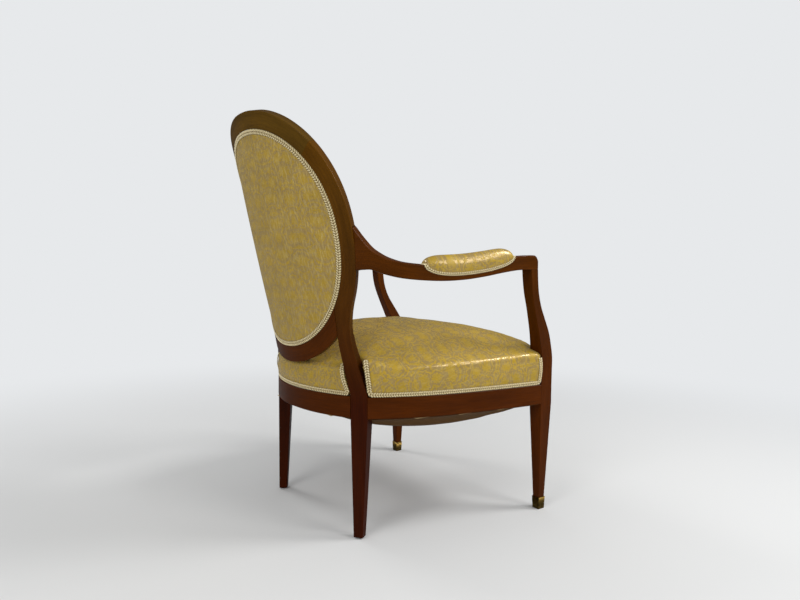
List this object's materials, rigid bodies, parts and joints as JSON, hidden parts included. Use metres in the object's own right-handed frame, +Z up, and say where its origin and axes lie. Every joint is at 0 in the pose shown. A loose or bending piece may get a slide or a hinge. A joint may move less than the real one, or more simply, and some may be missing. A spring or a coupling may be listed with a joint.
{
  "type": "upholstered armchair",
  "caption": "Open-arm chair with a raked oval padded back, swept arms with pads, a crowned sprung seat and tapered legs.",
  "frame": {"origin": "on the floor, in the middle of the chair's bounding box", "axes": "+Z up, +Y towards the back, +X to the sitter's left"},
  "size_m": [0.6412, 0.6558, 0.891],
  "materials": {
    "wood": "polished mahogany-brown hardwood, satin lacquer",
    "block_wood": "plain sawn beech",
    "steel": "dull drawn wire and zinc-plated screws",
    "brass": "patinated brass",
    "jute": "woven jute",
    "damask": "gold satin damask with a scrolling leaf pattern",
    "gimp": "cream and gold braided gimp",
    "bottom_cloth": "loose brown cotton lining"
  },
  "bodies": {
    "root": {"rear_post_left": "wood", "rear_post_right": "wood", "front_post_left": "wood", "front_post_right": "wood", "arm_left": "wood", "arm_right": "wood", "side_rail_left": "wood", "side_rail_right": "wood", "crest_rail": "wood", "lower_back_rail": "wood", "front_rail": "wood", "rear_rail": "wood", "front_corner_block_left": "block_wood", "front_corner_block_right": "block_wood", "rear_corner_block_left": "block_wood", "rear_corner_block_right": "block_wood", "front_block_screw_left": "steel", "front_block_screw_right": "steel", "rear_block_screw_left": "steel", "rear_block_screw_right": "steel", "rear_glide_left": "steel", "rear_glide_right": "steel", "spring_1": "steel", "spring_2": "steel", "spring_3": "steel", "spring_4": "steel", "spring_5": "steel", "front_sabot_left": "brass", "front_sabot_right": "brass", "webbing_lengthwise_1": "jute", "webbing_lengthwise_2": "jute", "webbing_lengthwise_3": "jute", "webbing_crosswise_1": "jute", "webbing_crosswise_2": "jute", "webbing_crosswise_3": "jute", "seat_hessian": "jute", "back_hessian": "jute", "seat_pad": "damask", "back_pad": "damask", "outside_back": "damask", "arm_pad_left": "damask", "arm_pad_right": "damask", "seat_gimp_front": "gimp", "seat_gimp_rear": "gimp", "seat_gimp_left": "gimp", "seat_gimp_right": "gimp", "back_gimp_rear": "gimp", "back_gimp_front": "gimp", "arm_gimp_left": "gimp", "arm_gimp_right": "gimp", "bottom_cloth": "bottom_cloth"}
  },
  "joints": []
}
